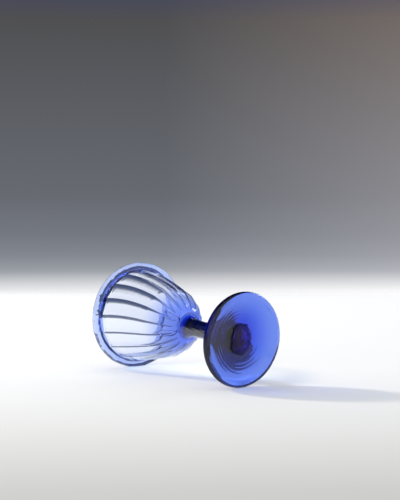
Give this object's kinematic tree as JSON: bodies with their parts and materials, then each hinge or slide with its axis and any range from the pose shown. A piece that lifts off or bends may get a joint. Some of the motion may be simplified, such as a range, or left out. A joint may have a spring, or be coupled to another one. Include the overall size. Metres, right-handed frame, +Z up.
{
  "type": "egg cup",
  "caption": "Footed egg cup in deep blue glass: a ribbed round-bottomed bowl with an outturned lip, a short solid stem and a spread disc foot.",
  "frame": {"origin": "centre of the foot's resting circle, on the table", "axes": "+Z up the axis of the cup, from the foot to the mouth; +X and +Y across it"},
  "size_m": [0.0548, 0.0544, 0.09],
  "materials": {
    "bowl_glass": "polished, pale where the blown wall is thin",
    "stem_glass": "polished, near black in its thickness",
    "foot_glass": "polished, with a worn resting edge",
    "scar_glass": "rough and broken"
  },
  "bodies": {
    "root": {"foot": "foot_glass", "stem": "stem_glass", "bowl": "bowl_glass", "pontil_scar": "scar_glass"}
  },
  "joints": []
}
